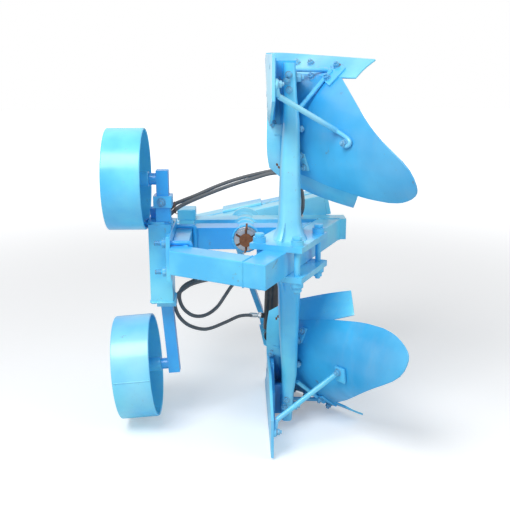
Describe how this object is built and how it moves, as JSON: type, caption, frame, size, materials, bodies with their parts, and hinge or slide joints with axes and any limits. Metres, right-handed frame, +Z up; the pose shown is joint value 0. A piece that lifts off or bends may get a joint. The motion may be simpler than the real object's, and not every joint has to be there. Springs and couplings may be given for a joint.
{
  "type": "reversible plough",
  "caption": "Hydraulic turnover plough: box frame on a three point headstock, mirrored mouldboard bodies above and below, turnover cylinder, hoses and steel gauge wheels.",
  "frame": {"origin": "middle of the axis of the two lower link pins", "axes": "+Z up as it stands, +Y towards the tractor, +X to the right seen from behind"},
  "size_m": [1.2049, 1.2393, 1.6275],
  "materials": {
    "blue_paint": "gloss enamel, light blue, worn at edges",
    "deep_blue_paint": "gloss enamel, in shade a deeper blue",
    "bright_steel": "machined, dull",
    "rusty_steel": "rusted",
    "bronze": "bronze bush",
    "black_paint": "black enamel",
    "hose_rubber": "braided hydraulic hose"
  },
  "bodies": {
    "headstock": {"head_rear_beam": "blue_paint", "head_front_beam": "blue_paint", "link_plate_left": "blue_paint", "link_plate_right": "blue_paint", "lower_link_pin_left": "bright_steel", "lower_link_pin_right": "bright_steel", "top_plate": "blue_paint", "mast_bar_left": "blue_paint", "mast_bar_right": "blue_paint", "cylinder_bracket": "blue_paint", "turnover_shaft": "rusty_steel", "castle_nut": "bright_steel", "split_pin": "rusty_steel", "thrust_washer": "bright_steel"},
    "frame": {"cross_beam_front": "blue_paint", "cross_beam_rear": "deep_blue_paint", "hub_sleeve": "blue_paint", "bush_front": "bronze", "bush_rear": "bronze", "main_beam": "blue_paint", "rear_beam": "blue_paint", "side_beam": "blue_paint", "stop_box": "blue_paint", "turnover_crank": "blue_paint", "leg_upper": "blue_paint", "leg_lower": "blue_paint", "foot_bolts": "bright_steel", "frog_upper": "deep_blue_paint", "frog_lower": "deep_blue_paint", "mouldboard_upper": "blue_paint", "mouldboard_lower": "blue_paint", "shin_upper": "blue_paint", "shin_lower": "blue_paint", "share_upper": "blue_paint", "share_lower": "blue_paint", "landside_upper": "blue_paint", "landside_lower": "blue_paint", "trash_board_upper": "blue_paint", "trash_board_lower": "blue_paint", "brace_upper": "blue_paint", "brace_lower": "blue_paint", "stay_upper": "blue_paint", "stay_lower": "blue_paint", "post_sleeve": "blue_paint", "guide_tube": "deep_blue_paint", "clamp_ring": "blue_paint", "saddle_plate": "blue_paint", "u_bolts": "deep_blue_paint", "hose_lower": "hose_rubber", "hose_upper": "hose_rubber", "hose_couplings": "bright_steel"},
    "upper_arm_body": {"upper_arm": "deep_blue_paint"},
    "lower_arm_body": {"lower_arm": "deep_blue_paint"},
    "upper_wheel_body": {"upper_wheel": "blue_paint"},
    "lower_wheel_body": {"lower_wheel": "blue_paint"},
    "rod": {"cylinder_rod": "bright_steel"},
    "barrel": {"cylinder_barrel": "black_paint", "base_pin": "bright_steel"}
  },
  "joints": [
    {"name": "turnover", "type": "hinge", "parent": "headstock", "child": "frame", "pos_m": [0.01134, -0.372, -0.05382], "axis": [0, 1, 0], "range_deg": [0, 156.2], "deforming": ["hose_lower", "hose_upper"]},
    {"name": "rod_pivot", "type": "hinge", "parent": "frame", "child": "rod", "pos_m": [0.15634, -0.195, -0.05382], "axis": [0, 1, 0], "range_deg": [-184.6, 0]},
    {"name": "rod_travel", "type": "slide", "parent": "rod", "child": "barrel", "axis": [-0.0391, 0, -0.9992], "range_m": [-0.1327, 0]},
    {"name": "upper_arm_height", "type": "slide", "parent": "frame", "child": "upper_arm_body", "axis": [0, 0, 1], "range_m": [-0.04, 0.1]},
    {"name": "lower_arm_height", "type": "slide", "parent": "frame", "child": "lower_arm_body", "axis": [-0.0767, 0, 0.9971], "range_m": [-0.06, 0.08]},
    {"name": "upper_wheel_spin", "type": "hinge", "parent": "upper_arm_body", "child": "upper_wheel_body", "pos_m": [-0.40266, -0.726, 0.25318], "axis": [-1, 0, 0], "continuous": true},
    {"name": "lower_wheel_spin", "type": "hinge", "parent": "lower_arm_body", "child": "lower_wheel_body", "pos_m": [-0.39642, -0.66, -0.59496], "axis": [-0.9971, 0, -0.0767], "continuous": true}
  ],
  "couplings": [
    {"joint": "rod_pivot", "follows": "turnover", "ratio": -1.1811}
  ]
}
